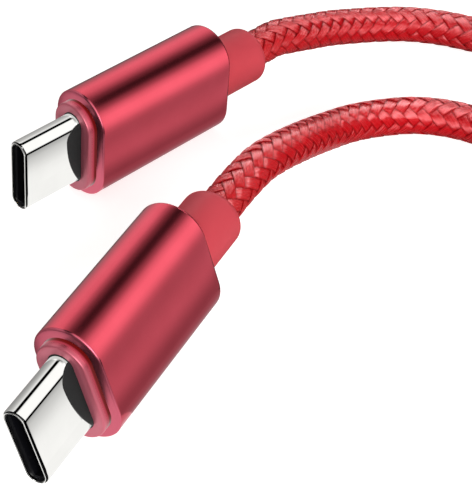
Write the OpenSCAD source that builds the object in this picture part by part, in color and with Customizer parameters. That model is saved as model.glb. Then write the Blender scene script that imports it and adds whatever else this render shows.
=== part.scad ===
// Braided charging cable with the same slim oval plug on both ends, in millimetres.
// The plugs stand on their narrow edges on the floor z = 0 and the cable lies between them, with
// its spare length wound into a round coil. The origin is on the floor under the two plugs.
// Each plug is drawn along its own x: its mouth is at x = 0, the cable leaves towards +x, y goes
// through its thickness and z across its width.

/* [Steel shell] */
// Width of the shell across its wide faces
shell_w = 8.25; // [8.1:0.05:8.4]
// Thickness of the shell
shell_t = 2.4; // [2.35:0.05:2.6]
// Length of shell that shows in front of the bezel
shell_out = 7.1; // [6.6:0.1:8]
// Length of shell held in the mould behind the bezel
shell_grip = 0.4; // [0.2:0.1:1]
// Sheet thickness of the shell
shell_wall = 0.3; // [0.2:0.02:0.34]
// Rounding of the shell's rolled front edge
shell_edge = 0.24; // [0.05:0.01:0.26]

/* [Contacts and housing] */
// How far the housing lies back from the shell's front edge
housing_back = 0.35; // [0.2:0.05:0.8]
// Width of the slot that takes the socket's tongue
slot_w = 6.9; // [6.8:0.05:7]
// Height of that slot
slot_h = 1.05; // [1:0.01:1.1]
// Distance from the mouth to the bottom of the slot
slot_deep = 6.2; // [5.8:0.1:6.6]
// Contacts in each of the two rows
contact_count = 12; // [4:1:12]
// Distance from contact to contact
contact_pitch = 0.5; // [0.45:0.01:0.5]
// Width of one contact
contact_w = 0.26; // [0.2:0.01:0.3]
// Thickness of one contact
contact_t = 0.12; // [0.08:0.01:0.13]
// Rise of a contact where it presses on the socket's tongue
contact_rise = 0.12; // [0.05:0.01:0.16]
// Thickness of the latch spring between the rows
latch_t = 0.2; // [0.15:0.01:0.24]
// Width of a latch arm
latch_arm = 0.3; // [0.2:0.02:0.34]
// How far a latch hook stands into the slot
latch_hook = 0.4; // [0.2:0.02:0.6]
// Thickness of a ground spring
ground_t = 0.1; // [0.06:0.01:0.12]
// Width of a ground spring
ground_w = 5.2; // [4.5:0.1:5.4]

/* [Circuit board] */
// Width of the board
board_w = 8.4; // [7:0.1:8.6]
// Side of the square control chip
chip_w = 2.6; // [2:0.1:3]
// Height of the control chip
chip_h = 0.75; // [0.5:0.05:0.9]
// Diameter of one insulated wire
wire_d = 0.9; // [0.6:0.05:0.95]

/* [Front bezel] */
// How far the bezel stands in front of the metal body
bezel_proud = 1.1; // [0.4:0.05:1.2]
// Rounding of the bezel's front shoulder
bezel_round = 0.15; // [0.1:0.05:0.5]
// Depth of the dish round the shell
bezel_dish = 0.1; // [0.1:0.05:0.4]
// Width of the dish round the shell
dish_w = 0.6; // [0.2:0.05:0.65]
// Length of the bezel from its face to its hidden end
bezel_len = 3.6; // [3:0.1:3.8]

/* [Metal body] */
// Width of the body
body_w = 12.3; // [12:0.1:13]
// Thickness of the body
body_t = 7; // [6.8:0.1:7.6]
// Length of the body
body_len = 18.5; // [18:0.5:24]
// Wall of the body
body_wall = 0.8; // [0.7:0.02:0.84]
// How far the lip round the body's mouth stands inward of the wall
lip_step = 0.13; // [0.1:0.01:0.2]
// Depth of that lip
lip_len = 1; // [0.6:0.1:1.4]
// Width of the polished chamfer round the front edge
rim_chamfer = 0.12; // [0.05:0.01:0.25]
// Rounding of the rear edge
rear_round = 0.5; // [0.2:0.05:0.7]

/* [Inner mould] */
// Thickness of the moulded lining between shell and bezel
lining_t = 0.1; // [0.06:0.01:0.14]
// Reach of the moulded crescent along the shell's wide faces
crescent_reach = 1.65; // [0.6:0.05:2]
// Width of the crescent at its foot
crescent_w = 7.2; // [5:0.1:7.6]
// How far the crescent's fullest point lies from the middle of the face
crescent_peak = 2; // [0:0.1:2.4]
// Thickness of the crescent
crescent_t = 0.08; // [0.05:0.01:0.1]
// Wall of the mould round the board
mould_wall = 0.34; // [0.25:0.01:0.36]

/* [Strain relief] */
// Diameter of the collar
collar_d = 6.2; // [5.8:0.1:6.8]
// Length of the collar behind the body
collar_len = 6.5; // [5:0.1:9]
// Rounding of the collar's rear edge
collar_round = 1; // [0.4:0.05:1]
// Diameter of the collar's neck in the body's rear wall
neck_d = 5; // [4.7:0.05:5]
// Thickness of the flange that holds the collar behind that wall
flange_t = 0.7; // [0.5:0.05:1]

/* [Cable] */
// Diameter over the braid
cord_d = 4; // [3.8:0.05:4]
// Wall of the crimp ferrule
ferrule_wall = 0.22; // [0.18:0.01:0.26]
// Length of the crimp ferrule
ferrule_len = 2.8; // [2:0.1:3]
// Gap between turns that lie side by side in the coil
turn_gap = 0.5; // [0.5:0.1:1]
// Gap between the coil's two layers
layer_gap = 0.45; // [0.45:0.05:1]
// Inner radius of the coil, to the cable's centre
coil_inner = 13; // [12:0.5:15]

/* [Lie of the plugs] */
// Heading of plug A from the floor's x
heading_angle_a = 46; // [40:1:52]
// Lean of plug A from standing upright
lean_angle_a = 5; // [0:1:8]
// Nose-down slope of plug A
slope_angle_a = 0; // [0:1:2]
// Heading of plug B
heading_angle_b = 62; // [56:1:68]
// Lean of plug B
lean_angle_b = -13; // [-16:1:-8]
// Nose-down slope of plug B
slope_angle_b = 5; // [2:1:7]
// Distance of plug B's mouth from plug A's along x
mouth_step_x = 4.2; // [2:0.1:6]
// Distance of plug B's mouth from plug A's along y
mouth_step_y = -38.3; // [-42:0.1:-36]

/* [Hidden] */
$fn = 64;
// Running gap between pieces that slide into each other
fit_gap = 0.02;
// Overlap of a cutting tool past the face it cuts
past = 1;

// Round pieces in line with the cable
cord_r = cord_d / 2;
cord_bore_r = cord_r + fit_gap;
ferrule_r = cord_bore_r + ferrule_wall;

// Stations along the plug, from the mouth
bezel_x = shell_out;
body_x = bezel_x + bezel_proud;
body_end = body_x + body_len;
cord_x = body_end + collar_len;
mould_front = bezel_x + bezel_len + fit_gap;
shell_end = mould_front + shell_grip;
housing_flange = 1.15;
housing_end = shell_end + housing_flange;
flange_x = body_end - body_wall - fit_gap - flange_t;
mould_end = flange_x - fit_gap;
mould_back_wall = 1.2;
pocket_x = housing_end - housing_flange / 2;
pocket_end = mould_end - mould_back_wall;
ferrule_x = pocket_end - fit_gap - ferrule_len;
tail_x = ferrule_x - fit_gap;
board_gap = 0.1;
board_x = housing_end + board_gap;
tail_gap = 0.4;
board_end = tail_x - tail_gap;
chip_gap = 0.6;
part_gap = 0.7;
part_size = [1, 0.4, 0.5];
part_step_x = 1.6;
part_step_z = 1.1;

// Half thicknesses; each outline is an oval whose round ends have this radius
shell_r = shell_t / 2;
body_r = body_t / 2;
body_spine = (body_w - body_t) / 2;
shell_spine = (shell_w - shell_t) / 2;
cavity_r = body_r - body_wall;
lip_r = cavity_r - lip_step;
bezel_r = lip_r - fit_gap;
bezel_root_r = cavity_r - fit_gap;
lining_r = shell_r + lining_t;
bezel_hole_r = lining_r + fit_gap;
mould_r = cavity_r - 2 * fit_gap;
pocket_r = mould_r - mould_wall;

// Housing and what it carries
housing_r = shell_r - shell_wall - fit_gap;
flange_rim = 0.2;
housing_flange_w = shell_w + 2 * flange_rim;
contact_out = slot_h / 2;
contact_in = contact_out - contact_t;
solder_t = 0.005;
board_t = 2 * (contact_in - solder_t);
contact_start = 1.5;
contact_bump = 1;
contact_tail = 1.5;
latch_start = 0.9;
latch_bar = 1;
latch_gap = 0.06;
latch_half = slot_w / 2 - latch_gap;
ground_x = 0.9;
ground_len = 2.5;
ground_slots = 3;
ground_slot_w = 0.7;
ground_slot_len = 1.4;
wire_len = 2.5;
wire_z = 0.85;

// The cable's sections: eight sides where it runs free, six in the coil, flat under and on top
run_sides = 8;
run_shape = [for (k = [0:run_sides - 1]) cord_r * [cos((k + 0.5) * 360 / run_sides),
                                                   sin((k + 0.5) * 360 / run_sides)]];
coil_top = 0.775;
coil_side = 0.55;
coil_step = cord_d + turn_gap;
layer_step = cord_r * (1 + coil_top) + layer_gap;
coil_shape = cord_r * [[1, 0], [coil_side, coil_top], [-coil_side, coil_top],
                       [-1, 0], [-coil_side, -1], [coil_side, -1]];

// The coil: in on the floor, up a layer in the half turn where it reverses, out on top
coil_centre = [73.5, 10];
coil_start_angle = 195;
coil_in_angle = 1260;
coil_climb_angle = 180;
coil_out_angle = 975;
coil_ring_angle = 15;
coil_turned_angle = coil_in_angle + coil_climb_angle + coil_out_angle;
coil_back_angle = coil_in_angle + coil_climb_angle / 2;

// Points that the cable passes between plug A and the coil, and between plug B and the coil
route_a = [[16, 35.1, 5.7], [18.2, 37.2, 4.9], [20.5, 39.3, 4.1], [23.2, 41.3, 3.2], [26.5, 42.9, 2.5],
           [30.1, 43.6, 2.1], [33.9, 42.9, 2], [37.5, 41.4, 2], [41.3, 40.1, 2], [45.3, 39.1, 2.4],
           [50, 38.2, 3.4], [55, 37.4, 4.8], [60, 36.8, 5.8], [65, 36.4, 6]];
route_b = [[11.8, 4.9, 8.6], [13.7, 8.1, 7.9], [15.6, 11.2, 6.9], [17.4, 14.3, 5.7], [19.4, 17.5, 4.4],
           [22, 20.6, 3.3], [25.4, 22.9, 2.5], [29.3, 24, 2.1], [33.3, 23.3, 2], [36.9, 21.2, 2],
           [39.5, 18, 2], [41.1, 14.2, 2], [42.2, 10.2, 2]];

// ---- Where the plugs lie ------------------------------------------------------------------

function turned_x(v, a) = [v.x, v.y * cos(a) - v.z * sin(a), v.y * sin(a) + v.z * cos(a)];
function turned_y(v, a) = [v.x * cos(a) + v.z * sin(a), v.y, -v.x * sin(a) + v.z * cos(a)];
function turned_z(v, a) = [v.x * cos(a) - v.y * sin(a), v.x * sin(a) + v.y * cos(a), v.z];

// A direction of the plug in the floor's axes, and back; a pose is [heading, slope, lean]
function to_floor(v, pose) = turned_z(turned_y(turned_x(v, pose[2]), -pose[1]), pose[0]);
function to_plug(v, pose) = turned_x(turned_y(turned_z(v, -pose[0]), pose[1]), -pose[2]);

// Edges that carry the plug's outermost points: station, width and thickness of the oval along
// the middle of the edge's rounding, radius of that rounding, and the end it faces
edges = [[shell_edge, shell_w - 2 * shell_edge, shell_t - 2 * shell_edge, shell_edge, -1],
         [body_x, body_w - 2 * rim_chamfer, body_t - 2 * rim_chamfer, 0, -1],
         [body_x + rim_chamfer, body_w, body_t, 0, -1],
         [body_end - rear_round, body_w - 2 * rear_round, body_t - 2 * rear_round, rear_round, 1],
         [cord_x - collar_round, collar_d - 2 * collar_round, collar_d - 2 * collar_round,
          collar_round, 1]];

// How far a plug in this pose reaches from its mouth's centre in a direction of the floor's axes
function reach(pose, way) =
    let (u = to_plug(way, pose), across = norm([u.y, u.z]))
    max([for (e = edges) e[0] * u.x + (e[1] - e[2]) / 2 * abs(u.z) + e[2] / 2 * across
                         + e[3] * (e[4] * u.x > 0 ? 1 : across)]);

pose_a = [heading_angle_a, slope_angle_a, lean_angle_a];
pose_b = [heading_angle_b, slope_angle_b, lean_angle_b];
left = min(-reach(pose_a, [-1, 0, 0]), mouth_step_x - reach(pose_b, [-1, 0, 0]));
right = max(reach(pose_a, [1, 0, 0]), mouth_step_x + reach(pose_b, [1, 0, 0]));
near = min(-reach(pose_a, [0, -1, 0]), mouth_step_y - reach(pose_b, [0, -1, 0]));
far = max(reach(pose_a, [0, 1, 0]), mouth_step_y + reach(pose_b, [0, 1, 0]));
middle = [(left + right) / 2, (near + far) / 2];
mouth_a = [-middle.x, -middle.y, reach(pose_a, [0, 0, -1])];
mouth_b = [mouth_step_x - middle.x, mouth_step_y - middle.y, reach(pose_b, [0, 0, -1])];

module at_plug(mouth, pose) {
    translate(mouth) rotate([pose[2], -pose[1], pose[0]]) children();
}

// ---- Shapes that the plug's pieces share ----------------------------------------------------

// Oval outline, thickness along x and width along y
module oval(w, t) {
    square([t, w - t], center = true);
    for (side = [-1, 1]) translate([0, side * (w - t) / 2]) circle(d = t);
}

// Straight bar along the plug from one station to another; its outline is the child
module bar(from, to) {
    translate([from, 0, 0]) rotate([90, 0, 90]) linear_extrude(to - from) children();
}

// Oval piece whose edge follows the child, a half profile drawn as [radius, station]
module oval_turn(spine) {
    for (side = [-1, 1])
        translate([0, 0, side * spine]) rotate([0, 90, 0]) rotate([0, 0, side * 90])
            rotate_extrude(angle = 180) children();
    linear_extrude(2 * spine, center = true) {
        mirror([1, -1, 0]) children();
        mirror([0, 1, 0]) mirror([1, -1, 0]) children();
    }
}

// Box of the plug from a low corner to a high corner
module block(low, high) {
    translate(low) cube(high - low);
}

// Points of a quarter round from one angle to another, as [radius, station]
function quarter(centre, r, from, to, steps = 8) =
    [for (k = [0:steps]) let (a = from + (to - from) * k / steps) centre + r * [cos(a), sin(a)]];

// ---- Pieces of one plug ---------------------------------------------------------------------

// Drawn steel tube that goes into the socket
module plug_shell() {
    color("silver") difference() {
        oval_turn(shell_spine) polygon(concat(
            [[0, shell_end], [0, 0]],
            quarter([shell_r - shell_edge, shell_edge], shell_edge, -90, 0),
            [[shell_r, shell_end]]));
        bar(-past, shell_end + past) oval(shell_w - 2 * shell_wall, shell_t - 2 * shell_wall);
    }
}

// Black insulator in the shell, with the slot for the socket's tongue
module contact_housing() {
    color("#17181a") difference() {
        union() {
            bar(housing_back, housing_end) oval(2 * (housing_r + shell_spine), 2 * housing_r);
            bar(shell_end + fit_gap, housing_end) square([shell_t, housing_flange_w], center = true);
        }
        block([housing_back - past, -slot_h / 2, -slot_w / 2], [slot_deep, slot_h / 2, slot_w / 2]);
        block([slot_deep - past, -latch_t / 2 - fit_gap, -slot_w / 2],
              [slot_deep + latch_bar + 2 * fit_gap, latch_t / 2 + fit_gap, slot_w / 2]);
        for (face = [0, 1]) mirror([0, face, 0]) {
            row_half = contact_count * contact_pitch / 2;
            seat_half = ground_w / 2 + fit_gap;
            block([slot_deep - past, contact_in - fit_gap / 2, -row_half],
                  [housing_end + past, contact_out + fit_gap / 2, row_half]);
            block([ground_x - fit_gap, housing_r - ground_t - fit_gap, -seat_half],
                  [ground_x + ground_len + fit_gap, housing_r + past, seat_half]);
        }
    }
}

// Two rows of gilt contact springs, each with the bump that presses on the socket's tongue
module contact_set() {
    bump = contact_start + contact_bump;
    end = board_x + contact_tail;
    color("goldenrod") for (row = [0, 1], k = [0:contact_count - 1])
        translate([0, 0, (k - (contact_count - 1) / 2) * contact_pitch])
            linear_extrude(contact_w, center = true) mirror([0, row]) polygon([
                [contact_start, contact_out], [contact_start, contact_in],
                [bump - contact_bump / 2, contact_in], [bump, contact_in - contact_rise],
                [bump + contact_bump / 4, contact_in - contact_rise],
                [bump + contact_bump, contact_in], [end, contact_in], [end, contact_out]]);
}

// Steel spring between the rows, with a hooked arm at each end of the slot
module latch_spring() {
    inner = latch_half - latch_arm;
    bar_x = slot_deep + fit_gap;
    hook = latch_start + latch_hook;
    half = [[bar_x + latch_bar, latch_half], [latch_start, latch_half], [latch_start, inner],
            [hook, inner - latch_hook], [hook + latch_hook / 2, inner - latch_hook],
            [hook + 2 * latch_hook, inner], [bar_x, inner]];
    other_half = [for (i = [len(half) - 1:-1:0]) [half[i].x, -half[i].y]];
    color("gainsboro") rotate([90, 0, 0]) linear_extrude(latch_t, center = true)
        polygon(concat(half, other_half));
}

// Two pierced steel springs between the housing and the shell's wide faces
module ground_springs() {
    pitch = ground_w / ground_slots;
    seat = housing_r - ground_t;
    start = ground_x + (ground_len - ground_slot_len) / 2;
    color("lightgray") for (face = [0, 1]) mirror([0, face, 0]) difference() {
        block([ground_x, seat, -ground_w / 2], [ground_x + ground_len, seat + ground_t, ground_w / 2]);
        for (k = [0:ground_slots - 1]) {
            z = (k - (ground_slots - 1) / 2) * pitch;
            block([start, seat - past, z - ground_slot_w / 2],
                  [start + ground_slot_len, seat + past, z + ground_slot_w / 2]);
        }
    }
}

// Board between the contact tails
module circuit_board() {
    color("darkgreen") block([board_x, -board_t / 2, -board_w / 2], [board_end, board_t / 2, board_w / 2]);
}

// Square control chip on the board
module control_chip() {
    chip_x = board_x + contact_tail + chip_gap;
    color("#202124") block([chip_x, board_t / 2, -chip_w / 2],
                           [chip_x + chip_w, board_t / 2 + chip_h, chip_w / 2]);
}

// Small resistors and capacitors on the board's other face
module board_parts() {
    start = board_x + contact_tail + part_gap;
    color("tan") for (i = [0:1], k = [-1:1])
        translate([start + part_step_x * i, -board_t / 2 - part_size.y, part_step_z * k - part_size.z / 2])
            cube(part_size);
}

// Outline of the crescent on one wide face: a long bow up to its fullest point, and a short one
module crescent_outline(tip_x, end_x) {
    long_side = crescent_w / 2 + crescent_peak;
    short_side = crescent_w / 2 - crescent_peak;
    bow_r = (pow(long_side, 2) + pow(crescent_reach, 2)) / (2 * crescent_reach);
    intersection() {
        translate([tip_x + bow_r, crescent_peak]) circle(r = bow_r);
        translate([tip_x, -crescent_w / 2]) square([end_x - tip_x, long_side]);
    }
    hull() for (x = [tip_x + short_side, end_x]) translate([x, crescent_peak]) circle(r = short_side);
}

// Black mould that seals the shell and boxes in the board; its crescents show on the shell
module inner_mould() {
    nose_x = bezel_x + bezel_dish;
    tip_x = bezel_x - crescent_reach;
    color("#1b1c1e") difference() {
        union() {
            bar(nose_x, mould_front + past) oval(2 * (shell_spine + lining_r), 2 * lining_r);
            bar(mould_front, mould_end) oval(2 * (body_spine + mould_r), 2 * mould_r);
            intersection() {
                bar(tip_x, nose_x + past) oval(shell_w + 2 * crescent_t, shell_t + 2 * crescent_t);
                for (face = [0, 180]) rotate([90 + face, 0, 0]) linear_extrude(shell_t)
                    crescent_outline(tip_x, nose_x + past);
            }
        }
        bar(tip_x - past, shell_end + fit_gap) oval(shell_w, shell_t);
        bar(shell_end, pocket_x + past)
            square([shell_t + 2 * fit_gap, housing_flange_w + 2 * fit_gap], center = true);
        bar(pocket_x, pocket_end) oval(2 * (body_spine + pocket_r), 2 * pocket_r);
        bar(ferrule_x - fit_gap, pocket_end) circle(r = ferrule_r + fit_gap);
        bar(pocket_end - past, mould_end + past) circle(r = cord_bore_r);
    }
}

// Red ring in the body's mouth, with a rounded shoulder and a shallow dish round the shell
module front_bezel() {
    lip_end = body_x + lip_len + fit_gap;
    end = bezel_x + bezel_len;
    color("#b8283c") difference() {
        oval_turn(body_spine) polygon(concat(
            [[0, end], [0, bezel_x]],
            quarter([bezel_r - bezel_round, bezel_x + bezel_round], bezel_round, -90, 0),
            [[bezel_r, lip_end], [bezel_root_r, lip_end], [bezel_root_r, end]]));
        bar(bezel_x - past, end + past) oval(2 * (shell_spine + bezel_hole_r), 2 * bezel_hole_r);
        oval_turn(shell_spine) polygon([[0, bezel_x - past], [bezel_hole_r + dish_w, bezel_x - past],
            [bezel_hole_r + dish_w, bezel_x], [bezel_hole_r, bezel_x + bezel_dish],
            [0, bezel_x + bezel_dish]]);
    }
}

// Red anodised aluminium body: polished front land, closed round rear
module body_sleeve() {
    floor_x = body_end - body_wall;
    color("#a81f33") difference() {
        oval_turn(body_spine) polygon(concat(
            [[lip_r, body_x], [body_r - rim_chamfer, body_x], [body_r, body_x + rim_chamfer]],
            quarter([body_r - rear_round, body_end - rear_round], rear_round, 0, 90),
            [[0, body_end], [0, floor_x], [cavity_r, floor_x], [cavity_r, body_x + lip_len],
             [lip_r, body_x + lip_len]]));
        bar(floor_x - past, body_end + past) circle(d = neck_d + 2 * fit_gap);
    }
}

// Insulated wires from the board's pads into the cable
module wire_leads() {
    lift = board_t / 2 + wire_d / 2;
    color("firebrick") for (y = [-lift, lift], z = [-wire_z, wire_z])
        translate([tail_x, y, z]) rotate([0, -90, 0]) cylinder(d = wire_d, h = wire_len);
}

// Crimped metal ferrule that grips the cable's end
module crimp_ferrule() {
    color("#b87333") bar(ferrule_x, ferrule_x + ferrule_len) difference() {
        circle(r = ferrule_r);
        circle(r = cord_bore_r);
    }
}

// End of the cable inside the plug
module cable_tail() {
    color("#8e1420") bar(tail_x, cord_x) circle(r = cord_r);
}

// Smooth red collar with a round rear edge; its flange sits behind the body's rear wall
module strain_relief() {
    outer = collar_d / 2;
    flange_end = flange_x + flange_t;
    color("#c23a4a") difference() {
        rotate([0, 90, 0]) rotate_extrude() polygon(concat(
            [[0, flange_x], [mould_r, flange_x], [mould_r, flange_end], [neck_d / 2, flange_end],
             [neck_d / 2, body_end], [outer, body_end]],
            quarter([outer - collar_round, cord_x - collar_round], collar_round, 0, 90),
            [[0, cord_x]]));
        bar(flange_x - past, cord_x + past) circle(r = cord_bore_r);
    }
}

// ---- The cable --------------------------------------------------------------------------------

function unit(v) = v / norm(v);
function bend(points, i) = unit(points[min(i + 1, len(points) - 1)] - points[max(i - 1, 0)]);

// A section of the cable, square to its run and level across it
function ring(centre, way, shape) =
    let (side = unit(cross(way, [0, 0, 1])), up = cross(side, way))
    [for (p = shape) centre + p.x * side + p.y * up];

// One unbroken tube with a section at each point
module tube(points, shape) {
    n = len(shape);
    last = len(points) - 1;
    polyhedron(
        points = [for (i = [0:last]) each ring(points[i], bend(points, i), shape)],
        faces = concat(
            [for (k = [1:n - 2]) [0, k, k + 1]],
            [for (i = [0:last - 1], k = [0:n - 1]) let (m = (k + 1) % n)
                each [[i * n + k, (i + 1) * n + k, i * n + m],
                      [i * n + m, (i + 1) * n + k, (i + 1) * n + m]]],
            [for (k = [1:n - 2]) [last * n, last * n + k + 1, last * n + k]]));
}

function eased(t) = let (u = max(0, min(1, t))) u * u * (3 - 2 * u);
function coil_radius(a) = coil_inner + coil_step / 360 * abs(a - coil_back_angle);
function coil_point(a) = [
    coil_centre.x + coil_radius(a) * cos(coil_start_angle + a),
    coil_centre.y + coil_radius(a) * sin(coil_start_angle + a),
    cord_r + layer_step * eased((a - coil_in_angle) / coil_climb_angle)];
coil_points = [for (a = [0:coil_ring_angle:coil_turned_angle]) coil_point(a)];

function coil_way(end) = end == 0 ? bend(coil_points, 0) : bend(coil_points, len(coil_points) - 1);
exit_a = mouth_a + to_floor([cord_x, 0, 0], pose_a);
exit_b = mouth_b + to_floor([cord_x, 0, 0], pose_b);
way_a = to_floor([1, 0, 0], pose_a);
way_b = to_floor([1, 0, 0], pose_b);
coil_first = coil_points[0];
coil_last = coil_points[len(coil_points) - 1];

// Each stretch leaves its plug, and meets the coil, straight for one diameter
points_a = concat([exit_a, exit_a + cord_d * way_a], route_a,
                  [coil_last + cord_d * coil_way(1), coil_last]);
points_b = concat([exit_b, exit_b + cord_d * way_b], route_b,
                  [coil_first - cord_d * coil_way(0), coil_first]);

module cord_stretch_a() {
    color("#c4121f") tube(points_a, run_shape);
}

module cord_coil() {
    color("#b50f1c") tube(coil_points, coil_shape);
}

module cord_stretch_b() {
    color("#c4121f") tube(points_b, run_shape);
}

// The cable's length, and the coil's least gap to itself from points round its sections
function run_length(points) =
    [for (i = [0:1:len(points) - 2]) norm(points[i + 1] - points[i])] * [for (i = [0:1:len(points) - 2]) 1];
turn_rings = 360 / coil_ring_angle;
function round_points(i) =
    let (r = ring(coil_points[i], bend(coil_points, i), coil_shape), n = len(r))
    [for (k = [0:n - 1]) each [r[k], (r[k] + r[(k + 1) % n]) / 2]];
coil_skin = [for (i = [0:len(coil_points) - 1]) round_points(i)];
coil_gap = min([for (i = [0:len(coil_points) - 1], j = [i + turn_rings - 1:1:len(coil_points) - 1])
    if (norm(coil_points[i] - coil_points[j]) < 2 * coil_step)
        min([for (p = coil_skin[i], q = coil_skin[j]) norm(p - q)])]);
echo(cable_length = run_length(points_a) + run_length(coil_points) + run_length(points_b));
echo(coil_least_gap = coil_gap);

at_plug(mouth_a, pose_a) plug_shell();  // plug_shell_a
at_plug(mouth_a, pose_a) contact_housing();  // contact_housing_a
at_plug(mouth_a, pose_a) contact_set();  // contact_set_a
at_plug(mouth_a, pose_a) latch_spring();  // latch_spring_a
at_plug(mouth_a, pose_a) ground_springs();  // ground_springs_a
at_plug(mouth_a, pose_a) circuit_board();  // circuit_board_a
at_plug(mouth_a, pose_a) control_chip();  // control_chip_a
at_plug(mouth_a, pose_a) board_parts();  // board_parts_a
at_plug(mouth_a, pose_a) inner_mould();  // inner_mould_a
at_plug(mouth_a, pose_a) front_bezel();  // front_bezel_a
at_plug(mouth_a, pose_a) body_sleeve();  // body_sleeve_a
at_plug(mouth_a, pose_a) wire_leads();  // wire_leads_a
at_plug(mouth_a, pose_a) crimp_ferrule();  // crimp_ferrule_a
at_plug(mouth_a, pose_a) cable_tail();  // cable_tail_a
at_plug(mouth_a, pose_a) strain_relief();  // strain_relief_a
at_plug(mouth_b, pose_b) plug_shell();  // plug_shell_b
at_plug(mouth_b, pose_b) contact_housing();  // contact_housing_b
at_plug(mouth_b, pose_b) contact_set();  // contact_set_b
at_plug(mouth_b, pose_b) latch_spring();  // latch_spring_b
at_plug(mouth_b, pose_b) ground_springs();  // ground_springs_b
at_plug(mouth_b, pose_b) circuit_board();  // circuit_board_b
at_plug(mouth_b, pose_b) control_chip();  // control_chip_b
at_plug(mouth_b, pose_b) board_parts();  // board_parts_b
at_plug(mouth_b, pose_b) inner_mould();  // inner_mould_b
at_plug(mouth_b, pose_b) front_bezel();  // front_bezel_b
at_plug(mouth_b, pose_b) body_sleeve();  // body_sleeve_b
at_plug(mouth_b, pose_b) wire_leads();  // wire_leads_b
at_plug(mouth_b, pose_b) crimp_ferrule();  // crimp_ferrule_b
at_plug(mouth_b, pose_b) cable_tail();  // cable_tail_b
at_plug(mouth_b, pose_b) strain_relief();  // strain_relief_b
cord_stretch_a();
cord_coil();
cord_stretch_b();
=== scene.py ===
"""Dressed model of a braided charging cable with the same slim oval plug on both ends."""

from math import cos, pi, radians, sin, tau

import bmesh
import bpy
import numpy as np
from mathutils import Matrix, Vector


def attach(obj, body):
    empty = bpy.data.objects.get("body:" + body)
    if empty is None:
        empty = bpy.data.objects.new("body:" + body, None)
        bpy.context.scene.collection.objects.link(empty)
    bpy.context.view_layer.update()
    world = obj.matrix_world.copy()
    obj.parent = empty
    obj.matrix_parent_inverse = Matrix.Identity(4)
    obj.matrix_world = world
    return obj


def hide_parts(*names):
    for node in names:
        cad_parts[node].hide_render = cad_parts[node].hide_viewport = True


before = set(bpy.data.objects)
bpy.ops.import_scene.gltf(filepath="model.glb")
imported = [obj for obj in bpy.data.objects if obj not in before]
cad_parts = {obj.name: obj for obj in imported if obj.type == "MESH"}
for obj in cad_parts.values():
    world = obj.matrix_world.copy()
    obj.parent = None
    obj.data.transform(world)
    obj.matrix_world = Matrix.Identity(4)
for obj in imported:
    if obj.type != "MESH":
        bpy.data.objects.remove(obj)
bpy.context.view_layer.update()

MM = 0.001
scene = bpy.context.scene
scene.view_settings.view_transform = "Standard"

# ---- Camera ------------------------------------------------------------------------------------
# A long lens looks down on the two plugs from in front, so that their wide faces, their mouths
# and the first bend of each cable show.
camera_at = Vector((9.70, -140.18, 108.33)) * MM
camera_down = 37  # degrees
lens_mm, sensor_mm = 132.5, 36

lens = bpy.data.cameras.new("camera")
lens.lens = lens_mm
lens.sensor_width = sensor_mm
lens.clip_start = 0.01
lens.clip_end = 20
camera = bpy.data.objects.new("camera", lens)
camera.location = camera_at
camera.rotation_euler = (radians(90 - camera_down), 0, 0)
scene.collection.objects.link(camera)
scene.camera = camera

# ---- Cable -------------------------------------------------------------------------------------
# One metre of round cable, 4 mm thick: conductors in a soft core, braided over with flat strands
# of red yarn, eight wound each way, each passing over two and under two of the others. It leaves
# both collars, and its spare length lies in a coil of two layers.
CABLE_D = 4.0
CORE_R = 1.68
strands_each_way = 8
braid_lead = 14.4  # the length in which a strand winds once round
braid_turn = -19  # degrees by which the whole braid is turned on the cable
braid_middle_r = 1.79
braid_wave = 0.135  # how far a strand rises and sinks from that radius
strand_rest = 0.5  # how flat it stays at the top and the bottom of that wave
strand_w = 1.2
strand_t = 0.21
strand_fullness = 0.45  # 1 is an oval section; below it the section fills out to its edges

# Where the cable leaves the collars, the bends that each end is laid in, and the coil: its start,
# its turning before and during the climb to the second layer, and its end, all in degrees.
exit_a, way_a = np.array((11.0970, 30.5089, 6.1399)), np.array((0.694658, 0.71934, 0.0))
exit_b, way_b = np.array((7.7615, -2.4709, 8.2274)), np.array((0.467685, 0.879588, 0.087156))
bends_a = [(16, 35.1, 5.7), (18.2, 37.2, 4.9), (20.5, 39.3, 4.1), (23.2, 41.3, 3.2),
           (26.5, 42.9, 2.5), (30.1, 43.6, 2.1), (33.9, 42.9, 2), (37.5, 41.4, 2), (41.3, 40.1, 2),
           (45.3, 39.1, 2.4), (50, 38.2, 3.4), (55, 37.4, 4.8), (60, 36.8, 5.8), (65, 36.4, 6)]
bends_b = [(11.8, 4.9, 8.6), (13.7, 8.1, 7.9), (15.6, 11.2, 6.9), (17.4, 14.3, 5.7),
           (19.4, 17.5, 4.4), (22, 20.6, 3.3), (25.4, 22.9, 2.5), (29.3, 24, 2.1), (33.3, 23.3, 2),
           (36.9, 21.2, 2), (39.5, 18, 2), (41.1, 14.2, 2), (42.2, 10.2, 2)]
coil_centre = (73.5, 10)
coil_start, coil_climbs, coil_climb, coil_end = 195, 1260, 180, 2415
coil_inner, coil_step, layer_step = 13, 4.5, 4.0
coil_point_step = 15
route_step, coil_route_step = 0.2, 0.4


def coil_point(turned):
    """Centre of the cable in the coil, after it has turned so many degrees from plug B's side."""
    r = coil_inner + coil_step / 360 * abs(turned - coil_climbs - coil_climb / 2)
    rise = min(1, max(0, (turned - coil_climbs) / coil_climb))
    a = radians(coil_start + turned)
    return np.array((coil_centre[0] + r * cos(a), coil_centre[1] + r * sin(a),
                     CABLE_D / 2 + layer_step * rise * rise * (3 - 2 * rise)))


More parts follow.
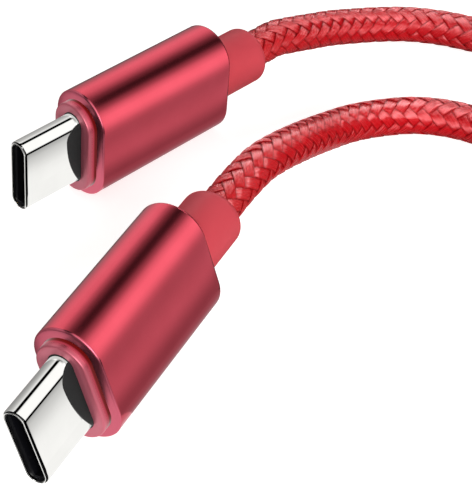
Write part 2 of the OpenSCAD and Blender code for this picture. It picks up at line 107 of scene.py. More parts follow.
def smooth_run(points, step):
    """The curve through some points, as points a step apart."""
    p = [2 * np.array(points[0]) - points[1], *map(np.array, points),
         2 * np.array(points[-1]) - points[-2]]
    share_step = 0.02
    fine = []
    for before, start, end, after in zip(p, p[1:], p[2:], p[3:]):
        for t in np.arange(0, 1, share_step):
            fine.append(0.5 * (2 * start + (end - before) * t
                               + (2 * before - 5 * start + 4 * end - after) * t ** 2
                               + (3 * start - before - 3 * end + after) * t ** 3))
    fine = np.array([*fine, p[-2]])
    along = np.concatenate([[0], np.cumsum(np.linalg.norm(np.diff(fine, axis=0), axis=1))])
    at = np.linspace(0, along[-1], max(2, round(along[-1] / step) + 1))
    return np.stack([np.interp(at, along, fine[:, k]) for k in range(3)], axis=1)


def direction(start, end):
    """The unit vector from one point to another."""
    return (end - start) / np.linalg.norm(end - start)


coil_line = [coil_point(a) for a in range(0, coil_end + 1, coil_point_step)]
first_way = direction(coil_line[0], coil_line[1])
last_way = direction(coil_line[-2], coil_line[-1])
run_a = smooth_run([exit_a, exit_a + CABLE_D * way_a, *bends_a, coil_line[-1] + CABLE_D * last_way,
                    coil_line[-1]], route_step)
run_b = smooth_run([exit_b, exit_b + CABLE_D * way_b, *bends_b, coil_line[0] - CABLE_D * first_way,
                    coil_line[0]], route_step)
run_coil = smooth_run(coil_line, coil_route_step)[::-1]
cable_line = np.concatenate([run_a, run_coil[1:], run_b[::-1][1:]])


def add(tree, kind, inputs=None, **settings):
    """A new node, with its settings and its inputs given as values or as other nodes' outputs."""
    made = tree.nodes.new(kind)
    for name, value in settings.items():
        setattr(made, name, value)
    for name, value in (inputs or {}).items():
        if isinstance(value, bpy.types.NodeSocket):
            tree.links.new(value, made.inputs[name])
        else:
            made.inputs[name].default_value = value
    return made


def maths(tree, operation, a, b=0.0, c=0.0):
    """The result of one sum."""
    return add(tree, "ShaderNodeMath", {0: a, 1: b, 2: c}, operation=operation).outputs[0]


def vectors(tree, operation, a, b):
    """The result of one sum of vectors; SCALE takes a number as its second value."""
    second = 3 if operation == "SCALE" else 1
    return add(tree, "ShaderNodeVectorMath", {0: a, second: b}, operation=operation).outputs[0]


def group_of(kind, name, inputs, outputs):
    """An empty node group with named sockets, and its first and last node."""
    tree = bpy.data.node_groups.new(name, kind)
    for label, socket in inputs.items():
        tree.interface.new_socket(label, in_out="INPUT", socket_type="NodeSocket" + socket)
    for label, socket in outputs.items():
        tree.interface.new_socket(label, in_out="OUTPUT", socket_type="NodeSocket" + socket)
    return tree, tree.nodes.new("NodeGroupInput").outputs, tree.nodes.new("NodeGroupOutput").inputs


def braid_tree():
    """Geometry nodes that braid flat strands round a curve, half of them wound each way."""
    tree, given, result = group_of("GeometryNodeTree", "braided_sleeve", {
        "Line": "Geometry", "Strands each way": "Int", "Lead": "Float", "Middle radius": "Float",
        "Turn": "Float", "Wave": "Float", "Rest": "Float", "Strand width": "Float",
        "Strand thickness": "Float", "Fullness": "Float", "Step": "Float",
        "Distance before": "Float", "Sides": "Int", "Material": "Material"}, {"Braid": "Geometry"})
    level = add(tree, "GeometryNodeSetCurveNormal", {"Curve": given["Line"]}, mode="Z_UP")
    run = add(tree, "GeometryNodeResampleCurve", {
        "Curve": level.outputs[0], "Length": given["Step"]}, mode="LENGTH")
    kept = add(tree, "GeometryNodeCaptureAttribute", {"Geometry": run.outputs[0]}, domain="POINT")
    normal = tree.nodes.new("GeometryNodeInputNormal").outputs[0]
    tangent = tree.nodes.new("GeometryNodeInputTangent").outputs[0]
    distance = tree.nodes.new("GeometryNodeSplineParameter").outputs["Length"]
    captured = (("VECTOR", "Side", normal), ("VECTOR", "Way", tangent), ("FLOAT", "Far", distance))
    for k, (kind, label, source) in enumerate(captured):
        kept.capture_items.new(kind, label)
        tree.links.new(source, kept.inputs[k + 1])
    side, way, far = kept.outputs[1], kept.outputs[2], kept.outputs[3]
    up = vectors(tree, "CROSS_PRODUCT", side, way)

    each_way = given["Strands each way"]
    copies = add(tree, "GeometryNodeDuplicateElements", {
        "Geometry": kept.outputs[0], "Amount": maths(tree, "MULTIPLY", each_way, 2)},
        domain="SPLINE")
    lane = copies.outputs["Duplicate Index"]
    first_half = maths(tree, "LESS_THAN", lane, each_way)
    hand = maths(tree, "SUBTRACT", maths(tree, "MULTIPLY", first_half, 2), 1)
    gone = maths(tree, "ADD", far, given["Distance before"])
    wound = maths(tree, "MULTIPLY", maths(tree, "DIVIDE", gone, given["Lead"]), tau)
    spacing = maths(tree, "DIVIDE", tau, each_way)
    half_spacing = maths(tree, "DIVIDE", spacing, 2)
    stagger = maths(tree, "MULTIPLY", maths(tree, "LESS_THAN", hand, 0), half_spacing)
    offset = maths(tree, "MULTIPLY_ADD", lane, spacing, stagger)
    angle = maths(tree, "MULTIPLY_ADD", hand, wound, offset)
    waves = maths(tree, "DIVIDE", each_way, 2)
    swing = maths(tree, "COSINE", maths(tree, "MULTIPLY", angle, waves))
    less = maths(tree, "MULTIPLY", given["Rest"], -1)
    more = maths(tree, "ADD", given["Rest"], 1)
    flatter = maths(tree, "MULTIPLY_ADD", maths(tree, "MULTIPLY", swing, swing), less, more)
    held = maths(tree, "MULTIPLY", swing, flatter)
    lift = maths(tree, "MULTIPLY", maths(tree, "MULTIPLY", hand, held), -1)
    radius = maths(tree, "MULTIPLY_ADD", lift, given["Wave"], given["Middle radius"])
    seat = maths(tree, "ADD", angle, given["Turn"])
    outward = vectors(tree, "ADD", vectors(tree, "SCALE", up, maths(tree, "COSINE", seat)),
                      vectors(tree, "SCALE", side, maths(tree, "SINE", seat)))
    moved = add(tree, "GeometryNodeSetPosition", {
        "Geometry": copies.outputs[0], "Offset": vectors(tree, "SCALE", outward, radius)})
    strand = add(tree, "GeometryNodeSetCurveNormal", {
        "Curve": moved.outputs[0], "Normal": outward}, mode="FREE").outputs[0]
    for name, value in (("lift", lift), ("run", gone), ("lane", lane)):
        strand = add(tree, "GeometryNodeStoreNamedAttribute", {
            "Geometry": strand, "Name": name, "Value": value},
            data_type="FLOAT", domain="POINT").outputs[0]

    ring = add(tree, "GeometryNodeCurvePrimitiveCircle", {
        "Resolution": given["Sides"], "Radius": 1.0}, mode="RADIUS").outputs[0]
    position = tree.nodes.new("GeometryNodeInputPosition").outputs[0]
    through, across = add(tree, "ShaderNodeSeparateXYZ", {0: position}).outputs[:2]
    marked = add(tree, "GeometryNodeStoreNamedAttribute", {
        "Geometry": ring, "Name": "across", "Value": across}, data_type="FLOAT", domain="POINT")
    bulge = maths(tree, "MULTIPLY", maths(tree, "SIGN", through),
                  maths(tree, "POWER", maths(tree, "ABSOLUTE", through), given["Fullness"]))
    flattened = add(tree, "ShaderNodeCombineXYZ", {
        0: maths(tree, "MULTIPLY", bulge, maths(tree, "DIVIDE", given["Strand thickness"], 2)),
        1: maths(tree, "MULTIPLY", across, maths(tree, "DIVIDE", given["Strand width"], 2))})
    section = add(tree, "GeometryNodeSetPosition", {
        "Geometry": marked.outputs[0], "Position": flattened.outputs[0]})
    woven = add(tree, "GeometryNodeCurveToMesh", {
        "Curve": strand, "Profile Curve": section.outputs[0], "Fill Caps": True})
    real = add(tree, "GeometryNodeRealizeInstances", {0: woven.outputs[0]})
    smooth = add(tree, "GeometryNodeSetShadeSmooth", {0: real.outputs[0], "Shade Smooth": True})
    painted = add(tree, "GeometryNodeSetMaterial", {
        0: smooth.outputs[0], "Material": given["Material"]})
    tree.links.new(painted.outputs[0], result[0])
    return tree


def curve_object(name, points, bevel=0.0):
    """A curve through points in millimetres; with a bevel it is a solid round tube."""
    line = bpy.data.curves.new(name, "CURVE")
    line.dimensions = "3D"
    spline = line.splines.new("POLY")
    spline.points.add(len(points) - 1)
    places = np.hstack([np.array(points) * MM, np.ones((len(points), 1))])
    spline.points.foreach_set("co", places.ravel())
    line.bevel_depth = bevel * MM
    line.bevel_resolution = 3
    line.use_fill_caps = True
    made = bpy.data.objects.new(name, line)
    scene.collection.objects.link(made)
    return made


def grain_group():
    """Shader group: soft clouds and fine specks over a surface, from its own coordinates."""
    tree, given, result = group_of("ShaderNodeTree", "surface_grain", {
        "Place": "Vector", "Cloud size": "Float", "Speck size": "Float"},
        {"Cloud": "Float", "Speck": "Float"})
    for label, detail in (("Cloud", 3.0), ("Speck", 2.0)):
        scale = maths(tree, "DIVIDE", 1.0, given[f"{label} size"])
        noise = add(tree, "ShaderNodeTexNoise", {
            "Vector": given["Place"], "Scale": scale, "Detail": detail})
        tree.links.new(noise.outputs["Fac"], result[label])
    return tree


grain = grain_group()
noise_span = (0.3, 0.7)  # nearly all of a noise's values lie between these


def mixed(tree, share, a, b):
    """One colour blended into another."""
    return add(tree, "ShaderNodeMix", {0: share, 6: a, 7: b}, data_type="RGBA").outputs[2]


def ranged(tree, value, low, high, to_low, to_high):
    """A value moved from one range to another, held at its ends."""
    limits = {1: low, 2: high, 3: to_low, 4: to_high}
    return add(tree, "ShaderNodeMapRange", {0: value, **limits}).outputs[0]


def rgb(red, green, blue):
    """A colour with full alpha."""
    return (red, green, blue, 1.0)


def start_material(name):
    """A new material, its node tree and its shader."""
    made = bpy.data.materials.new(name)
    made.use_nodes = True
    return made, made.node_tree, made.node_tree.nodes["Principled BSDF"]


def yarn_material(name, bright, shaded_colour, rough, shine_tint):
    """Braided yarn: fine ridges along each strand, and painted shade that makes it darker and
    duller where it dips under others, towards its edges and between its yarns.
    """
    made, tree, shader = start_material(name)
    across, run, lane, lift = (add(tree, "ShaderNodeAttribute", attribute_name=n).outputs["Fac"]
                               for n in ("across", "run", "lane", "lift"))
    yarns = 9
    wander_across, wander_along, wander_lane, wander_reach = 3.0, 900.0, 7.3, 1.3
    edge_start, edge_shade_level = 0.72, 0.25  # painted shade darkens a strand from here to its edges
    dip, crest = -0.5, 0.6  # heights in the wave where the painted shade is deepest and lightest
    # The valleys between the yarns are darkened by painted shade.
    ridge_top, valley_shade_level = 0.8, 0.25
    smoother, rougher = 0.06, 0.08
    ridge_strength, ridge_height = 0.6, 0.00006
    wander_place = add(tree, "ShaderNodeCombineXYZ", {
        0: maths(tree, "MULTIPLY", across, wander_across),
        1: maths(tree, "MULTIPLY", run, wander_along),
        2: maths(tree, "MULTIPLY", lane, wander_lane)})
    wander = add(tree, "ShaderNodeTexNoise", {
        "Vector": wander_place.outputs[0], "Scale": 1.0, "Detail": 2.0}).outputs["Fac"]
    yarn_place = maths(tree, "MULTIPLY_ADD", wander, wander_reach,
                       maths(tree, "MULTIPLY", across, yarns * pi / 2))
    ridge = maths(tree, "ABSOLUTE", maths(tree, "SINE", yarn_place))
    edge = ranged(tree, maths(tree, "ABSOLUTE", across), edge_start, 1.0, 1.0, edge_shade_level)
    crown = ranged(tree, lift, dip, crest, 0.0, 1.0)
    # What the painted shade leaves of the light colour and of the shine.
    light = maths(tree, "MULTIPLY", maths(tree, "MULTIPLY", edge, crown),
                  ranged(tree, ridge, 0.0, ridge_top, valley_shade_level, 1.0))
    tree.links.new(mixed(tree, light, rgb(*shaded_colour), rgb(*bright)), shader.inputs["Base Color"])
    tree.links.new(ranged(tree, wander, *noise_span, rough - smoother, rough + rougher),
                   shader.inputs["Roughness"])
    bump = add(tree, "ShaderNodeBump", {
        "Height": ridge, "Strength": ridge_strength, "Distance": ridge_height})
    tree.links.new(bump.outputs[0], shader.inputs["Normal"])
    tree.links.new(light, shader.inputs["Specular IOR Level"])
    shader.inputs["Specular Tint"].default_value = rgb(*shine_tint)
    return made


# The second, deep red colour is the yarn's painted shade.
red_yarn = yarn_material("red_yarn", (0.57, 0.001, 0.006), (0.22, 0.001, 0.002), 0.25,
                         shine_tint=(1.0, 0.48, 0.50))

core = curve_object("cord_core", cable_line, CORE_R)
core_paint, tree, shader = start_material("cord_core_red")
core_grain = add(tree, "ShaderNodeGroup", node_tree=grain)
core_grain.inputs["Cloud size"].default_value = 0.002
core_grain.inputs["Speck size"].default_value = 0.0002
tree.links.new(tree.nodes.new("ShaderNodeTexCoord").outputs["Object"], core_grain.inputs["Place"])
core_dark, core_light = rgb(0.16, 0.001, 0.003), rgb(0.22, 0.001, 0.004)
core_red = mixed(tree, core_grain.outputs["Cloud"], core_dark, core_light)
core_rough = ranged(tree, core_grain.outputs["Speck"], *noise_span, 0.6, 0.8)
tree.links.new(core_red, shader.inputs["Base Color"])
tree.links.new(core_rough, shader.inputs["Roughness"])
shader.inputs["Specular IOR Level"].default_value = 0.05
core.data.materials.append(core_paint)
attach(core, "root")
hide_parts("cord_stretch_a", "cord_coil", "cord_stretch_b")

braid = braid_tree()


def braided(name, points, before, step, sides):
    """One length of the braid as a plain mesh, with the distance that lies before it."""
    guide = curve_object(name, points)
    nodes = guide.modifiers.new("braid", "NODES")
    nodes.node_group = braid
    values = {"Strands each way": strands_each_way, "Lead": braid_lead * MM,
              "Middle radius": braid_middle_r * MM, "Turn": radians(braid_turn),
              "Wave": braid_wave * MM, "Rest": strand_rest, "Strand width": strand_w * MM,
              "Strand thickness": strand_t * MM, "Fullness": strand_fullness, "Step": step * MM,
              "Distance before": before * MM, "Sides": sides, "Material": red_yarn}
    for item in braid.interface.items_tree:
        if item.item_type == "SOCKET" and item.in_out == "INPUT" and item.name in values:
            nodes[item.identifier] = values[item.name]
    bpy.context.view_layer.update()
    finished = guide.evaluated_get(bpy.context.evaluated_depsgraph_get())
    mesh = bpy.data.meshes.new_from_object(finished)
    mesh.name = name
    bpy.data.objects.remove(guide)
    made = bpy.data.objects.new(name, mesh)
    scene.collection.objects.link(made)
    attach(made, "root")
    return made


def run_length(points):
    """Length of a line of points."""
    return float(np.linalg.norm(np.diff(points, axis=0), axis=1).sum())


coil_lengths = 4
stretch_fineness, coil_fineness = (0.16, 12), (0.4, 8)  # step along a strand, sides of its section
cuts = np.linspace(0, len(run_coil) - 1, coil_lengths + 1).astype(int)
lengths = [("braid_stretch_a", run_a, *stretch_fineness)]
lengths += [(f"braid_coil_{k + 1}", run_coil[start:end + 1], *coil_fineness)
            for k, (start, end) in enumerate(zip(cuts, cuts[1:]))]
lengths += [("braid_stretch_b", run_b[::-1], *stretch_fineness)]
braids, before = [], 0.0
for name, points, step, sides in lengths:
    braids.append(braided(name, points, before, step, sides))
    before += run_length(points)

# ---- Collars -----------------------------------------------------------------------------------
# A smooth moulded collar of satin red plastic guides the cable into each plug. A flange on its
# hidden end is trapped behind the body's rear wall, and its rear edge is rounded.
mouths = {"a": (-11.9657, 6.6268, 6.1399), "b": (-7.7657, -31.6732, 5.3338)}
poses = {"a": (46, 0, 5), "b": (62, 5, -13)}  # heading, rise and lean, in degrees


def plug_frame(which):
    """Where a plug lies: x runs from its mouth to the cable, y through it and z across it."""
    heading, slope, lean = (radians(a) for a in poses[which])
    return (Matrix.Translation(Vector(mouths[which]) * MM) @ Matrix.Rotation(heading, 4, "Z")
            @ Matrix.Rotation(-slope, 4, "Y") @ Matrix.Rotation(lean, 4, "X"))


def circle_stations(count):
    """Places round a round piece: direction outward in y and z, and no place along a spine."""
    return [(cos(tau * k / count), sin(tau * k / count), 0.0) for k in range(count)]


def oval_stations(arc, flat):
    """Places round an oval piece, two half circles joined by straight sides: direction outward,
    and the place along the spine that joins the circles' centres, from -1 to 1."""
    ends = [(cos(pi * k / arc), sin(pi * k / arc), 1.0) for k in range(arc + 1)]
    side = [(-1.0, 0.0, 1 - 2 * k / flat) for k in range(1, flat)]
    return ends + side + [(-y, -z, -s) for y, z, s in ends + side]


def turned_piece(name, which, profile, stations, material):
    """A ring-shaped solid: a closed profile of (distance from the mouth, radius, half the spine's
    length, polish, which below 0 is a painted shade) is taken round the plug's axis."""
    merge_reach, sharp_from = 1e-4, radians(32)
    shape = bmesh.new()
    polish_and_shade = shape.verts.layers.float.new("polish_and_shade")
    rings = []
    for x, r, spine, shine in profile:
        ring = [shape.verts.new((x, r * y, r * z + spine * half)) for y, z, half in stations]
        for vertex in ring:
            vertex[polish_and_shade] = shine
        rings.append(ring)
    for ring, after in zip(rings, rings[1:] + rings[:1]):
        for k in range(len(ring)):
            m = (k + 1) % len(ring)
            shape.faces.new((ring[k], after[k], after[m], ring[m]))
    bmesh.ops.remove_doubles(shape, verts=shape.verts, dist=merge_reach)
    bmesh.ops.dissolve_degenerate(shape, edges=shape.edges, dist=merge_reach)
    bmesh.ops.recalc_face_normals(shape, faces=shape.faces)
    for face in shape.faces:
        face.smooth = True
    for edge in shape.edges:
        edge.smooth = edge.calc_face_angle(0.0) < sharp_from
    shape.transform(plug_frame(which) @ Matrix.Scale(MM, 4))
    mesh = bpy.data.meshes.new(name)
    shape.to_mesh(mesh)
    shape.free()
    mesh.materials.append(material)
    made = bpy.data.objects.new(name, mesh)
    scene.collection.objects.link(made)
    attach(made, "root")
    return made


def rounding(x, r, size, start, end, spine, polish_and_shade=0.0, steps=8):
    """Points of a rounded edge, from one angle to another; 0 points outward and 90 to the cable."""
    return [(x + size * sin(radians(a)), r + size * cos(radians(a)), spine, polish_and_shade)
            for a in np.linspace(start, end, steps + 1)]


def fine_material(name, light, dark, rough, metallic=0.0, cloud=0.004, speck=0.00008, bump=0.000002,
                  polished=None, polish_tint=None, polish_metallic=None, painted_shade_tint=None,
                  specular=0.5, edge=(1, 1, 1)):
    """A plain finish with slight clouding, speckle and grain; its edges may be polished, and where
    the polish is below 0 a painted shade darkens it."""
    smoother, rougher = 0.85, 1.15  # shares of the roughness between which the speckle varies
    grain_strength = 0.3
    made, tree, shader = start_material(name)
    surface = add(tree, "ShaderNodeGroup", node_tree=grain)
    surface.inputs["Cloud size"].default_value = cloud
    surface.inputs["Speck size"].default_value = speck
    tree.links.new(tree.nodes.new("ShaderNodeTexCoord").outputs["Object"], surface.inputs["Place"])
    lightness = ranged(tree, surface.outputs["Cloud"], *noise_span, 0.0, 1.0)
    colour = mixed(tree, lightness, rgb(*dark), rgb(*light))
    gloss = ranged(tree, surface.outputs["Speck"], *noise_span, rough * smoother, rough * rougher)
    if polished is not None:
        shine = add(tree, "ShaderNodeAttribute", attribute_name="polish_and_shade").outputs["Fac"]
        gloss = add(tree, "ShaderNodeMix", {0: shine, 2: gloss, 3: polished}).outputs[0]
        colour = mixed(tree, shine, colour, rgb(*polish_tint))
        if polish_metallic is not None:
            metal = ranged(tree, shine, 0.0, 1.0, metallic, polish_metallic)
            tree.links.new(metal, shader.inputs["Metallic"])
        # Below 0 the polish gives a painted shade.
        if painted_shade_tint is not None:
            colour = mixed(tree, maths(tree, "MULTIPLY", shine, -1.0), colour, rgb(*painted_shade_tint))
    tree.links.new(colour, shader.inputs["Base Color"])
    tree.links.new(gloss, shader.inputs["Roughness"])
    grainy = add(tree, "ShaderNodeBump", {
        "Height": surface.outputs["Speck"], "Strength": grain_strength, "Distance": bump})
    tree.links.new(grainy.outputs[0], shader.inputs["Normal"])
    shader.inputs["Metallic"].default_value = metallic
    shader.inputs["Specular IOR Level"].default_value = specular
    shader.inputs["Specular Tint"].default_value = rgb(*edge)
    return made


collar_r, collar_front, collar_rear = 3.1, 26.7, 33.2
collar_round, collar_front_round = 1.0, 0.1
collar_rings = (27.6, 28.6, 29.6, 30.6, 31.6)
bore_r, flange_r, flange_x, flange_t, neck_r = 2.02, 2.66, 25.18, 0.7, 2.5
collar_plastic = fine_material("collar_red_plastic", (0.55, 0.062, 0.078), (0.51, 0.056, 0.072),
                               0.5, specular=0.08)
round_stations = circle_stations(96)
for which in "ab":
    collar = turned_piece(f"collar_{which}", which, [
        (flange_x, bore_r, 0, 0), (flange_x, flange_r, 0, 0), (flange_x + flange_t, flange_r, 0, 0),
        (flange_x + flange_t, neck_r, 0, 0), (collar_front, neck_r, 0, 0),
        (collar_front, collar_r - collar_front_round, 0, 0),
        *rounding(collar_front + collar_front_round, collar_r - collar_front_round,
                  collar_front_round, -90, 0, 0, steps=4),
        *[(x, collar_r, 0, 0) for x in collar_rings],
        *rounding(collar_rear - collar_round, collar_r - collar_round, collar_round, 0, 90, 0,
                  steps=14),
        (collar_rear, bore_r, 0, 0)], round_stations, collar_plastic)
    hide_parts(f"strain_relief_{which}")

# ---- Bodies ------------------------------------------------------------------------------------
# The gripping shell of each plug is an oval aluminium sleeve, bead blasted and anodised red. Its
# front land and the chamfer round it are cut bright after that. The rear edge is rounded.
body_r, body_spine, body_front, body_rear, body_round = 3.5, 2.65, 8.2, 26.7, 0.5
lip_r, lip_end, cavity_r, rear_wall, rear_hole_r = 2.57, 9.2, 2.7, 0.8, 2.52
lip_edge, rear_face, rear_hole_edge = 0.05, 0.6, 0.02  # widths of the rings beside these edges
# The cut edge: distance behind the front, distance from the full radius, polish.
land_edge = ((0.0, -0.16, 1), (0.012, -0.12, 1), (0.108, -0.02, 1), (0.15, 0.0, 0.6),
             (0.25, 0.0, 0))
body_rings = (9.7, 11.7, 14.2, 17.2, 20.2, 23.2, 25.4)


def show(material, shader_output):
    """The material's surface is this shader."""
    tree = material.node_tree
    tree.links.new(shader_output, tree.nodes["Material Output"].inputs["Surface"])


def land_glows_in_shine(material):
    """In the shine of its neighbours the polished land is a painted glow: even emitted light
    instead of its own reflection.
    """
    land_glow, land_polish = 0.8, 0.9
    tree = material.node_tree
    rays = tree.nodes.new("ShaderNodeLightPath")
    light = add(tree, "ShaderNodeEmission", {"Strength": land_glow})
    polish_and_shade = add(tree, "ShaderNodeAttribute", attribute_name="polish_and_shade").outputs["Fac"]
    on_land = maths(tree, "GREATER_THAN", polish_and_shade, land_polish)
    seen = add(tree, "ShaderNodeMixShader", {
        0: maths(tree, "MULTIPLY", on_land, rays.outputs["Is Glossy Ray"]),
        1: tree.nodes["Principled BSDF"].outputs[0], 2: light.outputs[0]})
    show(material, seen.outputs[0])


body_paint = fine_material("anodised_red", (0.47, 0.058, 0.083), (0.44, 0.052, 0.074), 0.16,
                           metallic=1.0, bump=0.0000012, polished=0.3,
                           polish_tint=(0.57, 0.115, 0.165), edge=(0.95, 0.74, 0.77))
# The land shows as a painted glow in its neighbours' shine.
land_glows_in_shine(body_paint)
oval_round = oval_stations(44, 10)
for which in "ab":
    body = turned_piece(f"body_{which}", which, [
        (body_front, lip_r, body_spine, 1), (body_front, lip_r + lip_edge, body_spine, 1),
        *[(body_front + back, body_r + out, body_spine, polish_and_shade) for back, out, polish_and_shade in land_edge],
        *[(x, body_r, body_spine, 0) for x in body_rings],
        *rounding(body_rear - body_round, body_r - body_round, body_round, 0, 90, body_spine,
                  steps=10),
        (body_rear, body_r - rear_face, body_spine, 0),
        (body_rear, rear_hole_r + rear_hole_edge, 0, 0),
        (body_rear, rear_hole_r, 0, 0), (body_rear - rear_wall, rear_hole_r, 0, 0),
        (body_rear - rear_wall, cavity_r, body_spine, 0), (lip_end, cavity_r, body_spine, 0),
        (lip_end, lip_r, body_spine, 0)], oval_round, body_paint)
    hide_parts(f"body_sleeve_{which}")

# ---- Bezels ------------------------------------------------------------------------------------
# A turned and anodised ring closes each body's mouth. Its shoulder is rounded, and its face is
# dished round the steel shell. It is pushed in from behind and stopped by the body's lip. Its side
# wall is darkened by a painted shade where it goes into the body.
bezel_front, bezel_end, bezel_r, bezel_round, bezel_root_r = 7.1, 10.7, 2.55, 0.15, 2.68
# The painted shade on the side wall starts at the first place and is full from the second.
shade_start, shade_full, lip_gap = 7.78, 7.95, 0.02
hole_r, shell_spine, dish_deep = 1.32, 2.925, 0.1
dish = ((hole_r, 1), (1.5, 0.68), (1.7, 0.36), (1.85, 0.12), (1.98, 0))  # radius, share of depth
shoulder_polish = 0.8


def let_shine_past(material):
    """The shine of its neighbours leaves this piece out."""
    tree = material.node_tree
    rays, clear = tree.nodes.new("ShaderNodeLightPath"), tree.nodes.new("ShaderNodeBsdfTransparent")
    seen = add(tree, "ShaderNodeMixShader", {
        0: rays.outputs["Is Glossy Ray"], 1: tree.nodes["Principled BSDF"].outputs[0],
        2: clear.outputs[0]})
    show(material, seen.outputs[0])


bezel_paint = fine_material("bezel_red", (0.56, 0.055, 0.09), (0.52, 0.048, 0.08), 0.2,
                            metallic=1.0, polished=0.45, polish_tint=(0.52, 0.13, 0.175),
                            polish_metallic=0.5, painted_shade_tint=(0.20, 0.007, 0.006))
let_shine_past(bezel_paint)
for which in "ab":
    bezel = turned_piece(f"bezel_{which}", which, [
        (bezel_end, hole_r, shell_spine, 0), (bezel_front + 2 * dish_deep, hole_r, shell_spine, 0),
        *[(bezel_front + dish_deep * sunk, r, shell_spine, 1) for r, sunk in dish],
        (bezel_front, bezel_r - bezel_round, body_spine, shoulder_polish),
        *rounding(bezel_front + bezel_round, bezel_r - bezel_round, bezel_round, -90, 0, body_spine,
                  shoulder_polish),
        # A polish of -1 marks the painted shade.
        (shade_start, bezel_r, body_spine, 0), (shade_full, bezel_r, body_spine, -1),
        (body_front, bezel_r, body_spine, -1), (lip_end + lip_gap, bezel_r, body_spine, -1),
        (lip_end + lip_gap, bezel_root_r, body_spine, 0), (bezel_end, bezel_root_r, body_spine, 0)],
        oval_round, bezel_paint)
    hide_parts(f"front_bezel_{which}")

# ---- Steel shells ------------------------------------------------------------------------------
# The tube that goes into the socket is deep drawn from steel and plated bright. Its front edge is
# rolled inward, and its root is held in the moulding behind the bezel.
shell_r, shell_wall, shell_end = 1.2, 0.3, 11.12
edge_round, inner_edge_round = 0.24, 0.04
inner_rings, outer_rings = (6.0, 2.0, 0.3), (0.4, 1.2, 2.5, 4.0, 5.5, 6.9, 9.0)
shell_bore_r = shell_r - shell_wall
shell_paint = fine_material("plated_steel", (0.80, 0.795, 0.77), (0.76, 0.755, 0.73), 0.035,
                            metallic=1.0, bump=0.0000003)
shell_round = oval_stations(40, 16)
for which in "ab":
    shell = turned_piece(f"shell_{which}", which, [
        (shell_end, shell_r, shell_spine, 0), (shell_end, shell_bore_r, shell_spine, 0),
        *[(x, shell_bore_r, shell_spine, 0) for x in inner_rings],
        *rounding(inner_edge_round, shell_bore_r + inner_edge_round, inner_edge_round, 180, 270,
                  shell_spine, steps=4),
        *rounding(edge_round, shell_r - edge_round, edge_round, -90, 0, shell_spine, steps=12),
        *[(x, shell_r, shell_spine, 0) for x in outer_rings]], shell_round, shell_paint)
    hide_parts(f"plug_shell_{which}")


# ---- Inner moulding and contact housing --------------------------------------------------------
# A black moulding seals the shell and boxes in the board; two thin crescents of it run out along
# the shell's wide faces. The contacts lie in a black insulator with the slot for the tongue.
def painted_node(node, material):
    """A node of the construction model gets its finish; its shape stays."""
    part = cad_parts[node]
    part.data.materials.clear()
    part.data.materials.append(material)


mould_paint = fine_material("mould_black", (0.012, 0.012, 0.012), (0.009, 0.009, 0.009), 0.45,
                            bump=0.000001, specular=0.2)
housing_paint = fine_material("housing_black", (0.004, 0.004, 0.006), (0.003, 0.003, 0.004), 0.5,
                              specular=0.1)
for which in "ab":
    painted_node(f"inner_mould_{which}", mould_paint)
    painted_node(f"contact_housing_{which}", housing_paint)

# ---- Springs and contacts ----------------------------------------------------------------------
# Two rows of gilt contact springs, the steel latch spring between them and the pierced ground
# springs under the shell's wide faces, all stamped from strip and pressed into the housing.
gilt = fine_material("gilt_strip", (0.80, 0.52, 0.20), (0.74, 0.46, 0.16), 0.24, metallic=1.0,
                     cloud=0.001)
spring_steel = fine_material("spring_steel", (0.62, 0.61, 0.60), (0.55, 0.54, 0.53), 0.22,
                             metallic=1.0, cloud=0.001)
for which in "ab":
    painted_node(f"contact_set_{which}", gilt)
    painted_node(f"latch_spring_{which}", spring_steel)
    painted_node(f"ground_springs_{which}", spring_steel)

# ---- Board and wiring --------------------------------------------------------------------------
# Behind the contacts a small board carries the control chip and a few passive parts. Four wires
# run from it into the cable, whose end is crimped in a ferrule inside the moulding.
board_green = fine_material("board_green", (0.012, 0.10, 0.035), (0.008, 0.07, 0.025), 0.4,
                            cloud=0.001)
chip_black = fine_material("chip_black", (0.018, 0.018, 0.020), (0.012, 0.012, 0.014), 0.5,
                           cloud=0.0006)
ceramic_tan = fine_material("ceramic_tan", (0.45, 0.30, 0.17), (0.36, 0.24, 0.13), 0.45,
                            cloud=0.0004)
wire_red = fine_material("wire_insulation", (0.42, 0.03, 0.03), (0.34, 0.02, 0.02), 0.4,
                         cloud=0.001)
ferrule_brass = fine_material("ferrule_brass", (0.66, 0.42, 0.22), (0.56, 0.35, 0.18), 0.3,
                              metallic=1.0, cloud=0.001)
tail_red = fine_material("cable_end_red", (0.34, 0.010, 0.018), (0.16, 0.004, 0.008), 0.55,
                         cloud=0.0005, speck=0.00015, bump=0.00003)
for which in "ab":
    for node, paint in (("circuit_board", board_green), ("control_chip", chip_black),
                        ("board_parts", ceramic_tan), ("wire_leads", wire_red),
                        ("crimp_ferrule", ferrule_brass), ("cable_tail", tail_red)):
        painted_node(f"{node}_{which}", paint)


# ---- Table -------------------------------------------------------------------------------------
# A pale, matt, seamless table. The camera sees it nearly white, with the object's faint shadow, and
# mirrored rays see it a plain grey.
def stage_mesh(name, points, faces, material):
    """A mesh that isn't part of the object."""
    mesh = bpy.data.meshes.new(name)
    mesh.from_pydata(points, [], faces)
    mesh.materials.append(material)
    made = bpy.data.objects.new(name, mesh)
    scene.collection.objects.link(made)
    return made


